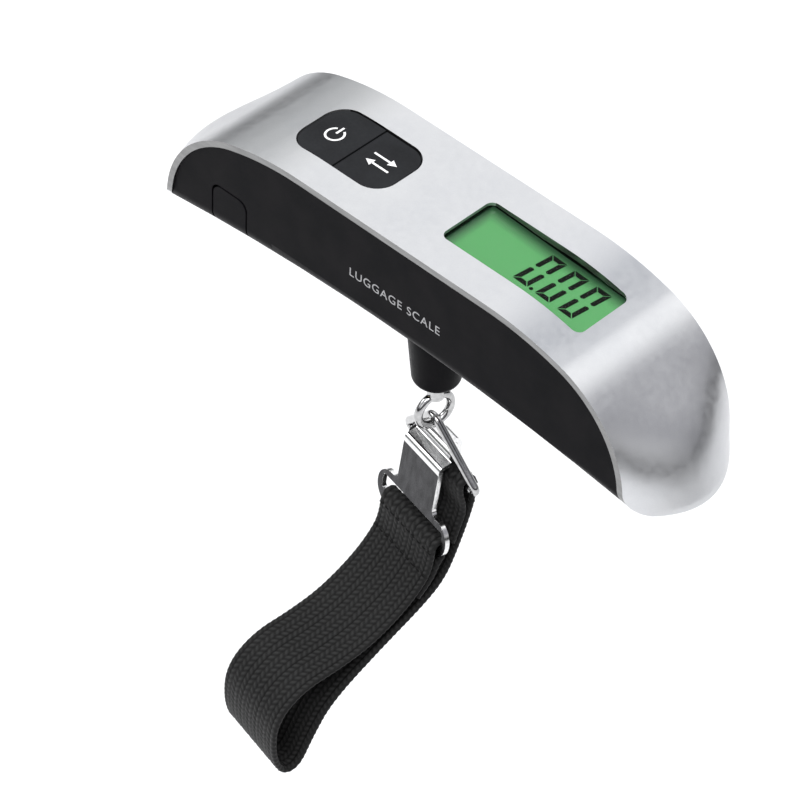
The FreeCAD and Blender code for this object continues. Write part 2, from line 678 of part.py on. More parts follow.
os.makedirs("parts", exist_ok=True)
for node, make in NODES.items():
    shape = make()
    print(f"{node:18s} solids {len(shape.Solids):2d} valid {shape.isValid()} volume {shape.Volume:9.2f} mm3")
    shape.exportStep(f"parts/{node}.step")
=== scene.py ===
"""Looks of the digital luggage scale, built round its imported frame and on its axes."""
import json
import math

import bmesh
import bpy
import numpy as np
from mathutils import Matrix, Vector
from mathutils.bvhtree import BVHTree


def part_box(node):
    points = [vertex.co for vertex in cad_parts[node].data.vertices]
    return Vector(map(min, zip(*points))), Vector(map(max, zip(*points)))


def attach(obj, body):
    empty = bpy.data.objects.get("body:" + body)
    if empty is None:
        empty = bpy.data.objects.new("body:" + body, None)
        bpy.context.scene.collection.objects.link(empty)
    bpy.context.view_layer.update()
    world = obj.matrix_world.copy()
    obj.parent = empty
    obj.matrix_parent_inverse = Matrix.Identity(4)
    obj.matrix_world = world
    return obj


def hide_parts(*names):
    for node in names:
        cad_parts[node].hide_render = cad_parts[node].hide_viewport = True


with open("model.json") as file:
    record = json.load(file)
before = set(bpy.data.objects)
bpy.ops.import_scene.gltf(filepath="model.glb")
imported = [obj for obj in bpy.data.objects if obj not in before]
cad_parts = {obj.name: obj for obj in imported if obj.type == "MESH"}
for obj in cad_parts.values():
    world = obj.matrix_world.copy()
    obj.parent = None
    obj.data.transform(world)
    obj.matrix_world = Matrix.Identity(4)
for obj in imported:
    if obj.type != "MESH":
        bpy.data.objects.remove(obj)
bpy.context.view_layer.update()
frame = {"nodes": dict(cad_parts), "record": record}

MM = 0.001                  # the sizes below are in millimetres, the scene in metres

SLOTS = {entry["node"]: entry["material_slot"] for entry in frame["record"]["subparts"]}

# ---- driving sizes, in millimetres --------------------------------------------------------------

# rounding of the CAD shapes
WELD_GAP = 0.002            # vertices nearer than this are one
FLAT_ANGLE = 0.6            # degrees: faces that turn less than this are one
SHARP_ANGLE = 32            # degrees: edges that turn more than this are rounded
# the cover's side faces are coloured darker, a painted reflection
COVER_SIDE_FACING = 0.9     # the cover's side faces look this squarely along Y
# the hook plate's cut edges take bright steel; its up-facing crest and its rounds take it too, as a painted
# highlight
SHEET_EDGE = 1.3            # the hook plate's edge faces are narrower than this
SHEET_SIDE_FACING = 0.8     # or look this squarely along X
SHEET_CREST_FACING = 0.35   # or look up at least this much

# prints
ABOVE_ALL = 0.1             # a height over the whole object, in metres
ARC_STEPS = 22              # straight pieces in the power pictogram's arc
INK_THICK = 0.03
INK_SINK = 0.004            # how far ink reaches into the surface under it
INK_CELL = 0.7              # ink edges longer than this are split, to follow a curved key
INK_SPLITS = 4              # rounds of splitting
INK_STROKE = 0.55
POWER_X, POWER_Y, POWER_R = -33.8, -0.3, 2.2
POWER_BAR = (0.1, 2.7)      # the upright stroke, from and to along Y
POWER_ARC = (118, 422)      # degrees: the arc leaves a gap round the upright stroke
CHANGE_X = (-23.1, -16.3)
CHANGE_Y = 1.4
ARROW_HEAD, ARROW_HALF, ARROW_LAP = 2.0, 1.1, 0.2
NAME_HEIGHT, NAME_THICK, NAME_SPACING = 3.3, 0.015, 1.12
NAME_X, NAME_Z, NAME_PROUD = 1.4, 10.3, 0.012

# display
DIGIT_WIDTH, DIGIT_HEIGHT, DIGIT_STROKE, DIGIT_GAP = 4.3, 11.6, 1.25, 0.14
DIGITS = 3
DIGIT_X, DIGIT_Y = 24.2, -4.6    # lower left corner of the first digit
DIGIT_PITCH = 6.5
DIGIT_SLANT = 0.115
DIGIT_THICK, DIGIT_PROUD = 0.02, 0.004
POINT_X, POINT_RISE, POINT_R = 29.45, 0.35, 0.5
POINT_SIDES = 12

# webbing
STRAP_WIDTH = 22.0
STRAP_THICK = 1.5
STRAP_OFFSET = -0.3         # the webbing's middle, along the ring's base bar
RING_YAW = math.radians(-12)
BAR_Y, BAR_Z = 3.201, -51.505    # middle of the base bar, square on to the ring
ROUTE_STEP = 0.34
WEAVE_COLUMN, WEAVE_LOOP = 1.57, 1.5
WEAVE_RELIEF = 0.26
EDGE_WAVE = 0.07
STITCH_PITCH = 2.2
STITCH_FILL = 0.78          # a stitch's length as a share of the pitch
THREAD_R = 0.2
FRONT_ROWS = (22.2, 29.4)   # stitch rows, along the webbing from its front end
BACK_ROWS = (24.2, 30.0)    # and from its other end

# camera and stage
CAMERA_AZIMUTH = math.radians(42.2)
CAMERA_ELEVATION = math.radians(43.8)
CAMERA_ROLL = math.radians(2.7)
CAMERA_LENS = 180.3
CAMERA_DISTANCE = 910 * MM
CAMERA_AIM = Vector((0, 0, -23.3 * MM))
CAMERA_PAN = (8.27 * MM, 5.4 * MM)
SENSOR_WIDTH = 36.0
FLOOR_Z = -0.36             # in metres, as the next line
FLOOR_REACH = 3.0
HORIZON = (0.08, 0.34)      # the studio's strength rises between these heights of a direction
HORIZON_STRENGTH = (0.12, 1.5)
# how bright the studio is along +X: a direction's x and its tone
STUDIO = [(-0.95, (0.27, 0.27, 0.28)), (-0.75, (0.37, 0.38, 0.38)), (-0.5, (0.90, 0.90, 0.90)),
          (-0.36, (0.78, 0.78, 0.80)), (-0.2, (0.29, 0.31, 0.34)), (-0.05, (0.33, 0.34, 0.37)),
          (0.12, (1.0, 1.0, 1.0)), (0.3, (1.0, 1.0, 1.0)), (0.55, (0.26, 0.26, 0.28)),
          (0.75, (0.23, 0.23, 0.25)), (0.95, (0.48, 0.48, 0.49))]


# ---- node helpers -------------------------------------------------------------------------------

class Shader:
    """A material with its Principled shader and short calls for the nodes that feed it."""

    def __init__(self, name, **settings):
        self.material = bpy.data.materials.new(name)
        self.material.use_nodes = True
        self.tree = self.material.node_tree
        self.bsdf = self.tree.nodes["Principled BSDF"]
        for socket, value in settings.items():
            self.bsdf.inputs[socket.replace("_", " ")].default_value = value
        self.place = self.tree.nodes.new("ShaderNodeTexCoord").outputs["Object"]

    def node(self, kind, inputs=None, **props):
        made = self.tree.nodes.new("ShaderNode" + kind)
        for key, value in props.items():
            setattr(made, key, value)
        for key, value in (inputs or {}).items():
            self.feed(made.inputs[key], value)
        return made

    def feed(self, socket, value):
        if isinstance(value, bpy.types.NodeSocket):
            self.tree.links.new(value, socket)
        else:
            socket.default_value = value

    def noise(self, per_mm, detail=3.0, stretch=(1, 1, 1)):
        scaled = self.node("Mapping", {"Vector": self.place, "Scale": stretch}).outputs[0]
        grain = self.node("TexNoise", {"Vector": scaled, "Scale": per_mm / MM, "Detail": detail})
        return grain.outputs["Fac"]

    def remap(self, value, low, high, start=0.3, end=0.7):
        return self.node("MapRange", {"Value": value, "From Min": start, "From Max": end,
                                      "To Min": low, "To Max": high}).outputs[0]

    def blend(self, value, dark, light, start=0.35, end=0.65):
        ramp = self.node("ValToRGB", {"Fac": value})
        first, last = ramp.color_ramp.elements
        first.position, first.color = start, (*dark, 1)
        last.position, last.color = end, (*light, 1)
        return ramp.outputs[0]

    def math(self, operation, a, b=0.0):
        return self.node("Math", {0: a, 1: b}, operation=operation).outputs[0]

    def mixed(self, first, second, share):
        """Two values added up: the first with its share, the second with what is left."""
        rest = self.math("MULTIPLY", second, 1 - share)
        return self.math("ADD", self.math("MULTIPLY", first, share), rest)

    def bump(self, *layers):
        """Stack height fields: each layer is (value, height in mm)."""
        normal = None
        for value, height in layers:
            made = self.node("Bump", {"Height": value, "Distance": height * MM, "Strength": 1.0})
            if normal is not None:
                self.feed(made.inputs["Normal"], normal)
            normal = made.outputs[0]
        self.feed(self.bsdf.inputs["Normal"], normal)
        return self

    def color(self, value):
        self.feed(self.bsdf.inputs["Base Color"], value)

    def rough(self, value):
        self.feed(self.bsdf.inputs["Roughness"], value)


# ---- materials ----------------------------------------------------------------------------------

def grey(value):
    return (value, value, value)


def silver_material():
    look = Shader("silver_panel", Metallic=0.92)
    cloud = look.noise(0.05, 2.0)
    fleck = look.noise(3.0, 2.0)
    tone = look.mixed(cloud, fleck, 0.7)
    look.color(look.blend(tone, (0.62, 0.63, 0.65), (0.69, 0.695, 0.705), 0.3, 0.7))
    look.rough(look.remap(look.noise(0.6, 4.0), 0.28, 0.36))
    return look.bump((look.noise(1.5, 2.0), 0.0012)).material


def moulded_material(name, dark, light, rough_low, rough_high, grain=0.01, coat=0.0, gloss=0.5, ior=1.5):
    look = Shader(name, Coat_Weight=coat, Coat_Roughness=0.25, Specular_IOR_Level=gloss, IOR=ior)
    look.color(look.blend(look.noise(0.12, 3.0), dark, light))
    look.rough(look.remap(look.noise(1.4, 4.0), rough_low, rough_high))
    return look.bump((look.noise(5.0, 3.0), grain), (look.noise(0.25, 2.0), grain * 2)).material


def metal_material(name, dark, light, rough_low, rough_high, per_mm=1.5, stretch=(1, 1, 1), height=0.004):
    look = Shader(name, Metallic=1.0)
    look.color(look.blend(look.noise(per_mm, 4.0, stretch=stretch), dark, light))
    look.rough(look.remap(look.noise(per_mm * 2, 4.0, stretch=stretch), rough_low, rough_high))
    return look.bump((look.noise(per_mm * 4, 3.0, stretch=stretch), height)).material


def plate_material():
    """Black nickel, faintly streaked down the plate."""
    look = Shader("dark_steel", Metallic=1.0)
    streaks = look.noise(0.8, 4.0, stretch=(1, 1, 0.25))
    look.color(look.blend(streaks, (0.03, 0.03, 0.032), (0.055, 0.055, 0.058)))
    look.rough(look.remap(look.noise(2.2, 4.0), 0.2, 0.32))
    return look.bump((look.noise(1.2, 3.0, stretch=(1, 1, 0.3)), 0.0015)).material


def webbing_material(name, dark, light):
    look = Shader(name, Sheen_Weight=0.06, Sheen_Roughness=0.45, Specular_IOR_Level=0.3, IOR=1.3)
    fibre = look.noise(7.0, 3.0, stretch=(1, 1, 0.35))
    # the weave's relief sets the colour: its ridges painted lighter and its valleys darker, painted light and
    # shade
    ridge = look.node("Attribute", attribute_name="weave").outputs["Fac"]
    look.color(look.blend(look.mixed(ridge, fibre, 0.75), dark, light, 0.2, 0.85))
    look.rough(look.remap(fibre, 0.5, 0.72))
    return look.bump((fibre, 0.05), (look.noise(2.5, 2.0), 0.03)).material


def lens_material():
    look = Shader("clear_lens", Base_Color=(0.02, 0.03, 0.02, 1), Alpha=0.06, IOR=1.3)
    look.rough(look.remap(look.noise(0.2, 2.0), 0.02, 0.06))
    return look.bump((look.noise(0.15, 1.0), 0.002)).material


def display_material():
    """Lit green glass, shaded by the window along its back and left edges."""
    look = Shader("display_green", Coat_Weight=0.15, Coat_Roughness=0.08, Emission_Strength=0.3)
    lo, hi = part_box("lcd_glass")
    middle, half = (lo + hi) / 2, (hi - lo) / 2
    split = look.node("SeparateXYZ", {"Vector": look.place})
    off_x = look.math("DIVIDE", look.math("SUBTRACT", middle.x, split.outputs[0]), half.x)
    off_y = look.math("DIVIDE", look.math("SUBTRACT", split.outputs[1], middle.y), half.y)
    edge = look.math("MAXIMUM", look.remap(off_x, 0, 1, 0.84, 1.0), look.remap(off_y, 0, 1, 0.5, 1.0))
    grain = look.math("MULTIPLY", look.noise(4.0, 2.0), 0.1)
    green = look.blend(look.math("ADD", edge, grain), (0.066, 0.28, 0.084), (0.02, 0.06, 0.028), 0.08, 0.95)
    look.color(green)
    look.feed(look.bsdf.inputs["Emission Color"], green)
    look.rough(look.remap(look.noise(0.5, 2.0), 0.3, 0.42))
    return look.bump((look.noise(1.0, 2.0), 0.002)).material


def ink_material(name, tone, rough_low, rough_high):
    look = Shader(name, Specular_IOR_Level=0.1)
    look.color(look.blend(look.noise(3.0, 3.0), tuple(t * 0.85 for t in tone), tone))
    look.rough(look.remap(look.noise(2.0, 3.0), rough_low, rough_high))
    return look.bump((look.noise(6.0, 2.0), 0.004)).material


def make_materials():
    return {
        "silver_panel": silver_material(),
        "black_shell": moulded_material("black_shell", (0.0045, 0.0045, 0.0055), (0.0075, 0.007, 0.008),
                                        0.30, 0.42, 0.002, ior=1.1),
        "key_black": moulded_material("key_black", (0.011, 0.0115, 0.013), (0.016, 0.017, 0.019), 0.45, 0.6,
                                      0.006, gloss=0.3, ior=1.3),
        "silicone_grey": moulded_material("silicone_grey", grey(0.30), grey(0.38), 0.6, 0.75),
        "clear_lens": lens_material(),
        "display_green": display_material(),
        "light_guide": moulded_material("light_guide", (0.62, 0.72, 0.62), (0.74, 0.82, 0.74), 0.2, 0.35),
        "zebra_rubber": moulded_material("zebra_rubber", grey(0.05), grey(0.22), 0.6, 0.8),
        "board_green": moulded_material("board_green", (0.012, 0.10, 0.035), (0.02, 0.16, 0.06), 0.3, 0.45,
                                        0.01, 0.4),
        "epoxy_black": moulded_material("epoxy_black", grey(0.008), grey(0.014), 0.12, 0.25, 0.01, 0.5),
        "ribbon_film": moulded_material("ribbon_film", (0.45, 0.22, 0.04), (0.60, 0.32, 0.07), 0.25, 0.4),
        "switch_steel": metal_material("switch_steel", grey(0.45), grey(0.6), 0.25, 0.4),
        "screw_steel": metal_material("screw_steel", grey(0.48), grey(0.62), 0.22, 0.38, 2.0),
        "cell_aluminium": metal_material("cell_aluminium", grey(0.66), grey(0.78), 0.3, 0.45, 0.8,
                                         (0.1, 1, 1)),
        "gauge_foil": metal_material("gauge_foil", (0.55, 0.36, 0.16), (0.72, 0.50, 0.25), 0.3, 0.4, 3.0,
                                     (0.1, 1, 1)),
        "battery_steel": metal_material("battery_steel", grey(0.6), grey(0.72), 0.16, 0.28, 1.0),
        "spring_steel": metal_material("spring_steel", (0.58, 0.55, 0.5), (0.70, 0.68, 0.62), 0.2, 0.32),
        "bush_brass": metal_material("bush_brass", (0.55, 0.40, 0.16), (0.75, 0.58, 0.28), 0.25, 0.4),
        "bright_chrome": metal_material("bright_chrome", grey(0.40), grey(0.52), 0.06, 0.12, 1.2,
                                        height=0.001),
        # the cover's long sides in a darker grey: a painted reflection of dark surroundings, over silver like
        # the top
        "cover_side_shade": metal_material("cover_side_shade", grey(0.22), grey(0.28), 0.3, 0.42, 0.8, (0.2, 1, 1),
                                     0.002),
        "dark_steel": plate_material(),
        # bright steel for the hook plate's cut edges, and a painted highlight on its up-facing crest and its
        # rounds
        "cut_edge_and_highlight": metal_material("cut_edge_and_highlight", grey(0.70), grey(0.84), 0.12, 0.22, 2.0, height=0.001),
        "black_webbing": webbing_material("black_webbing", grey(0.001), grey(0.026)),
        "black_thread": webbing_material("black_thread", grey(0.003), grey(0.012)),
        "print_white": ink_material("print_white", (0.86, 0.86, 0.86), 0.5, 0.65),
        "print_grey": ink_material("print_grey", (0.40, 0.40, 0.41), 0.5, 0.65),
        "segment_black": ink_material("segment_black", (0.002, 0.003, 0.002), 0.5, 0.6),
    }


# ---- mesh helpers -------------------------------------------------------------------------------

def new_object(name, mesh, material, smooth=None):
    piece = bpy.data.objects.new(name, mesh)
    bpy.context.scene.collection.objects.link(piece)
    mesh.materials.clear()
    mesh.materials.append(material)
    if smooth is not None:
        mesh.shade_smooth()
        mesh.set_sharp_from_angle(angle=math.radians(smooth))
    return piece


def apply_modifiers(piece):
    graph = bpy.context.evaluated_depsgraph_get()
    baked = bpy.data.meshes.new_from_object(piece.evaluated_get(graph))
    piece.modifiers.clear()
    piece.data = baked


def softened(node, name, body, materials, width_mm, segments=3, edge=None, is_edge=None,
             bright_rounds=False):
    """A copy of a CAD node with its sharp edges rounded, standing in for the node.

    The faces that is_edge picks take the edge material, and with bright_rounds the rounding does too, as a
    painted highlight."""
    slot = SLOTS[node]
    mesh = frame["nodes"][node].data.copy()
    shape = bmesh.new()
    shape.from_mesh(mesh)
    bmesh.ops.remove_doubles(shape, verts=shape.verts, dist=WELD_GAP * MM)
    bmesh.ops.dissolve_limit(shape, angle_limit=math.radians(FLAT_ANGLE), verts=shape.verts,
                             edges=shape.edges)
    on_edge = [int(edge is not None and is_edge(face)) for face in shape.faces]
    shape.to_mesh(mesh)
    shape.free()
    piece = new_object(name, mesh, materials[slot], smooth=30)
    bevel = piece.modifiers.new("round", "BEVEL")
    if edge:
        mesh.materials.append(materials[edge])
        mesh.polygons.foreach_set("material_index", on_edge)
        bevel.material = 1 if bright_rounds else -1
    bevel.width, bevel.segments = width_mm * MM, segments
    bevel.limit_method, bevel.angle_limit = "ANGLE", math.radians(SHARP_ANGLE)
    bevel.use_clamp_overlap, bevel.harden_normals = True, True
    piece.modifiers.new("normals", "WEIGHTED_NORMAL").keep_sharp = True
    apply_modifiers(piece)
    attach(piece, body)
    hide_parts(node)
    return piece


def on_cover_side(face):
    """True for the cover's thickness, which shows along its two long sides; these faces are coloured darker,
    a painted reflection of dark surroundings.
    """
    return abs(face.normal.y) > COVER_SIDE_FACING


def on_plate_edge(face):
    """True for the hook plate's cut edges, narrow faces and faces that look sideways, and for the faces
    looking up at the crest, which are made bright as a painted highlight.
    """
    longest = max(edge.calc_length() for edge in face.edges)
    narrow = face.calc_area() / longest < SHEET_EDGE * MM
    return narrow or face.normal.z > SHEET_CREST_FACING or abs(face.normal.x) > SHEET_SIDE_FACING


def surface_of(piece):
    shape = bmesh.new()
    shape.from_mesh(piece.data)
    tree = BVHTree.FromBMesh(shape)
    shape.free()
    return tree


def drop(tree, x, y):
    """The height of a surface at x and y, looking down from above the whole object."""
    return tree.ray_cast(Vector((x, y, ABOVE_ALL)), Vector((0, 0, -1)))[0].z


def plate_from_outlines(outlines, height):
    """Thin solid slabs from flat closed outlines: [(x, y), ...] in millimetres."""
    shape = bmesh.new()
    for outline in outlines:
        base = [shape.verts.new((x * MM, y * MM, 0)) for x, y in outline]
        top = [shape.verts.new((x * MM, y * MM, height * MM)) for x, y in outline]
        shape.faces.new(list(reversed(base)))
        shape.faces.new(top)
        for k in range(len(base)):
            n = (k + 1) % len(base)
            shape.faces.new((base[k], base[n], top[n], top[k]))
    bmesh.ops.recalc_face_normals(shape, faces=shape.faces)
    mesh = bpy.data.meshes.new("slabs")
    shape.to_mesh(mesh)
    shape.free()
    return mesh


# ---- prints and digits --------------------------------------------------------------------------

def bar(x0, y0, x1, y1, width):
    """A straight stroke as a four-sided outline."""
    run = Vector((x1 - x0, y1 - y0))
    side = Vector((-run.y, run.x)).normalized() * width / 2
    return [(x0 + side.x, y0 + side.y), (x0 - side.x, y0 - side.y), (x1 - side.x, y1 - side.y),
            (x1 + side.x, y1 + side.y)]


def ring_stroke(cx, cy, radius, width, start, end):
    """An open arc stroke; angles in degrees from +X, anticlockwise."""
    angles = [math.radians(start + (end - start) * k / ARC_STEPS) for k in range(ARC_STEPS + 1)]
    outer, inner = [[(cx + r * math.cos(a), cy + r * math.sin(a)) for a in angles]
                    for r in (radius + width / 2, radius - width / 2)]
    return outer + inner[::-1]


def arrow(tail_x, tip_x, y):
    """A level arrow: its shaft and its head as two outlines."""
    way = 1 if tip_x > tail_x else -1
    neck_x = tip_x - way * ARROW_HEAD
    shaft = bar(tail_x, y, neck_x + way * ARROW_LAP, y, INK_STROKE)
    return [shaft, [(neck_x, y + ARROW_HALF), (neck_x, y - ARROW_HALF), (tip_x, y)]]


def lay_on_key(name, outlines, key, body, material):
    """Ink laid on a key's crown, following its surface."""
    mesh = plate_from_outlines(outlines, INK_THICK)
    shape = bmesh.new()
    shape.from_mesh(mesh)
    bmesh.ops.triangulate(shape, faces=shape.faces)
    for _ in range(INK_SPLITS):
        long_edges = [edge for edge in shape.edges if edge.calc_length() > INK_CELL * MM]
        bmesh.ops.subdivide_edges(shape, edges=long_edges, cuts=1)
        bmesh.ops.triangulate(shape, faces=shape.faces)
    shape.to_mesh(mesh)
    shape.free()
    tree = surface_of(key)
    for vertex in mesh.vertices:
        vertex.co.z += drop(tree, vertex.co.x, vertex.co.y) - INK_SINK * MM
    piece = new_object(name, mesh, material)
    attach(piece, body)


def key_prints(materials, power_key, unit_key):
    """Plain pictograms in place of lettering: on and off, and change over."""
    power = [ring_stroke(POWER_X, POWER_Y, POWER_R, INK_STROKE, *POWER_ARC),
             bar(POWER_X, POWER_BAR[0], POWER_X, POWER_BAR[1], INK_STROKE)]
    lay_on_key("power_key_print", power, power_key, "power_key", materials["print_white"])
    left, right = CHANGE_X
    change = arrow(left, right, CHANGE_Y) + arrow(right, left, -CHANGE_Y)
    lay_on_key("unit_key_print", change, unit_key, "unit_key", materials["print_white"])


def front_print(materials):
    """A plain generic name on the front face."""
    curve = bpy.data.curves.new("front_name", "FONT")
    curve.body = "LUGGAGE SCALE"
    curve.size, curve.extrude, curve.space_character = NAME_HEIGHT * MM, NAME_THICK * MM, NAME_SPACING
    curve.align_x = "CENTER"
    holder = bpy.data.objects.new("front_name", curve)
    bpy.context.scene.collection.objects.link(holder)
    graph = bpy.context.evaluated_depsgraph_get()
    mesh = bpy.data.meshes.new_from_object(holder.evaluated_get(graph))
    bpy.data.objects.remove(holder)
    case_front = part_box("lower_case")[0].y
    mesh.transform(Matrix.Translation((NAME_X * MM, case_front - NAME_PROUD * MM, NAME_Z * MM)) @
                   Matrix.Rotation(math.radians(90), 4, "X"))
    piece = new_object("front_name_print", mesh, materials["print_grey"])
    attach(piece, "grip")


def nought(width, height, stroke, gap):
    """The six segments of a nought, mitred where they meet, with its lower left corner at 0, 0."""
    inner, middle, point = stroke + gap, height / 2, stroke / 2
    shoulder, tip = 0.75, 0.4       # how far a side's mitre stands from the middle of the digit
    flat = [(gap, height), (width - gap, height), (width - inner, height - stroke), (inner, height - stroke)]
    side = [(0, height - gap), (stroke, height - inner), (stroke, middle + shoulder), (point, middle + tip),
            (0, middle + shoulder)]
    flats = [flat, [(x, height - y) for x, y in flat]]
    lefts = [side, [(x, height - y) for x, y in side]]
    return flats + lefts + [[(width - x, y) for x, y in part] for part in lefts]


def display_digits(materials):
    """Three slanted seven-segment noughts and a point, on the glass under the lens."""
    outlines = []
    for k in range(DIGITS):
        for part in nought(DIGIT_WIDTH, DIGIT_HEIGHT, DIGIT_STROKE, DIGIT_GAP):
            outlines.append([(DIGIT_X + k * DIGIT_PITCH + x + DIGIT_SLANT * y, DIGIT_Y + y) for x, y in part])
    point_y = DIGIT_Y + POINT_RISE
    outlines.append([(POINT_X + POINT_R * math.cos(a), point_y + POINT_R * math.sin(a))
                     for a in (math.radians(360 / POINT_SIDES * k) for k in range(POINT_SIDES))])
    mesh = plate_from_outlines(outlines, DIGIT_THICK)
    tree = surface_of(frame["nodes"]["lcd_glass"])
    for vertex in mesh.vertices:
        vertex.co.z += drop(tree, vertex.co.x, vertex.co.y) + DIGIT_PROUD * MM
    piece = new_object("display_digits", mesh, materials["segment_black"])
    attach(piece, "grip")


# ---- webbing ------------------------------------------------------------------------------------

# the strap's route: from its sewn front end round the slot bar, down the front, through the fold
# at the foot, up the back and round the ring's base bar; (y, z) in mm, square on to the ring
STRAP_ROUTE = [(-9.4, -82.1), (-5.9, -78.1), (-4.4, -74.0), (-2.4, -71.0), (-2.1, -66.4),
               (-5.55, -66.4), (-6.0, -72.5), (-7.5, -77.2), (-13.2, -84.0), (-22.5, -90.6),
               (-31.5, -93.6), (-41.5, -95.6), (-48.6, -102.5), (-49.3, -113.5), (-46.8, -121.6),
               (-42.2, -121.9), (-38.4, -113.2), (-33.2, -104.0), (-19.2, -92.9), (-8.0, -84.9),
               (-2.2, -79.0), (1.2, -70.0), (4.6, -59.0), (BAR_Y + 1.95, BAR_Z - 2.4),
               (BAR_Y + 1.95, BAR_Z + 1.95), (BAR_Y - 1.95, BAR_Z + 1.95), (BAR_Y - 1.9, BAR_Z - 2.2),
               (2.9, -59.2), (0.9, -65.2), (-0.1, -68.6)]


def even_route(step):
    """The route as a smooth curve at even steps: distances along it, points and unit tangents, in mm."""
    pts = np.array(STRAP_ROUTE)
    dense = [pts[0]]
    middles = [pts[0]] + [(pts[k] + pts[k + 1]) / 2 for k in range(1, len(pts) - 2)] + [pts[-1]]
    samples = 40
    t = np.linspace(0, 1, samples + 1)[1:, None]
    for k in range(len(middles) - 1):
        a, b, c = middles[k], pts[k + 1], middles[k + 1]
        dense.extend((1 - t) ** 2 * a + 2 * t * (1 - t) * b + t ** 2 * c)
    dense = np.array(dense)
    along = np.concatenate([[0], np.cumsum(np.linalg.norm(np.diff(dense, axis=0), axis=1))])
    count = int(along[-1] / step) + 1
    even = np.linspace(0, along[-1], count)
    route = np.stack([np.interp(even, along, dense[:, k]) for k in (0, 1)], axis=1)
    tangent = np.gradient(route, axis=0)
    tangent /= np.linalg.norm(tangent, axis=1)[:, None]
    return even, route, tangent


def weave(along, across):
    """Height of the woven surface, 0 to 1: columns of slanted loops that lean by turns."""
    column = np.floor(across / WEAVE_COLUMN)
    local = across / WEAVE_COLUMN - column - 0.5
    lean = np.where(column % 2 == 0, 1.0, -1.0)
    phase = along / WEAVE_LOOP + lean * local * 0.75 + 0.25 * (column % 2)
    loop = 0.5 + 0.5 * np.cos(2 * np.pi * phase)
    ridge = np.clip(1 - (2 * np.abs(local)) ** 3, 0, 1)
    return ridge * (0.25 + 0.75 * loop ** 0.8)


def strap_section():
    """The webbing's cross-section, once round: across it, its lift, and which face each point is on.

    The face is 1 on top, -1 underneath and 0 on the two rolled edges."""
    inset = 0.12
    flat_points, turn_points = 64, 6
    half_w, edge_r = STRAP_WIDTH / 2, STRAP_THICK / 2 - inset
    flat = np.linspace(-half_w + edge_r, half_w - edge_r, flat_points)
    turn = np.radians(np.linspace(90, -90, turn_points + 2)[1:-1])
    across = np.concatenate([flat, half_w - edge_r + edge_r * np.cos(turn), flat[::-1],
                             -(half_w - edge_r) - edge_r * np.cos(turn)])
    lift = np.concatenate([np.full(flat_points, edge_r), edge_r * np.sin(turn),
                           np.full(flat_points, -edge_r), -edge_r * np.sin(turn)])
    side = np.concatenate([np.full(flat_points, 1.0), np.full(turn_points, 0.0),
                           np.full(flat_points, -1.0), np.full(turn_points, 0.0)])
    return across, lift, side


def strap_mesh():
    """The webbing as one closed skin, woven on both faces, with rolled edges."""
    along, route, tangent = even_route(ROUTE_STEP)
    normal = np.stack([-tangent[:, 1], tangent[:, 0]], axis=1)
    across, lift, side = strap_section()
    ring = len(across)
    rows = len(along)
    run = np.repeat(along[:, None], ring, axis=1)
    span = np.repeat(across[None, :], rows, axis=0)
    bump = weave(run, span + STRAP_WIDTH) * WEAVE_RELIEF - WEAVE_RELIEF / 2
    height = lift[None, :] + side[None, :] * bump
    wave = EDGE_WAVE * np.cos(2 * np.pi * run / WEAVE_LOOP) * (side[None, :] == 0) * np.sign(across)[None, :]
    x = span + wave + STRAP_OFFSET
    y = route[:, 0][:, None] + normal[:, 0][:, None] * height
    z = route[:, 1][:, None] + normal[:, 1][:, None] * height
    places = np.stack([x, y, z], axis=2).reshape(-1, 3) * MM
    faces = []
    for r in range(rows - 1):
        base, top = r * ring, (r + 1) * ring
        for c in range(ring):
            n = (c + 1) % ring
            faces.append((base + c, base + n, top + n, top + c))
    faces.append(tuple(range(ring))[::-1])
    faces.append(tuple(range((rows - 1) * ring, rows * ring)))
    mesh = bpy.data.meshes.new("webbing")
    mesh.from_pydata(places.tolist(), [], faces)
    # the relief is kept for the colour as painted shade, darker in the weave's valleys and lighter on its
    # ridges; the rolled edges take a fixed tone a little under the middle
    shade = mesh.attributes.new("weave", "FLOAT", "POINT")
    shade.data.foreach_set("value", np.where(side[None, :] == 0, 0.4, bump / WEAVE_RELIEF + 0.5).ravel())
    mesh.transform(Matrix.Rotation(RING_YAW, 4, "Z"))
    return mesh


def thread_stitch(shape, place, along, up, length, radius):
    """One stitch: a short bowed capsule that dives into the cloth at both ends."""
    sides, rings = 8, 9
    bow, dive = 1.1, 0.7    # in thread radii
    blunt_end = 0.02        # keeps the ends from shrinking to a point
    across = along.cross(up)
    loops = []
    for k in range(rings):
        t = k / (rings - 1) * 2 - 1
        r = radius * math.sqrt(max(1 - t ** 4, blunt_end))
        middle = place + along * (t * length / 2) + up * (radius * bow * (1 - t * t) - radius * dive)
        loops.append([shape.verts.new(middle + across * (r * math.cos(a)) + up * (r * math.sin(a)))
                      for a in (2 * math.pi * j / sides for j in range(sides))])
    for a, b in zip(loops, loops[1:]):
        for j in range(sides):
            n = (j + 1) % sides
            shape.faces.new((a[j], a[n], b[n], b[j]))
    shape.faces.new(loops[0][::-1])
    shape.faces.new(loops[-1])


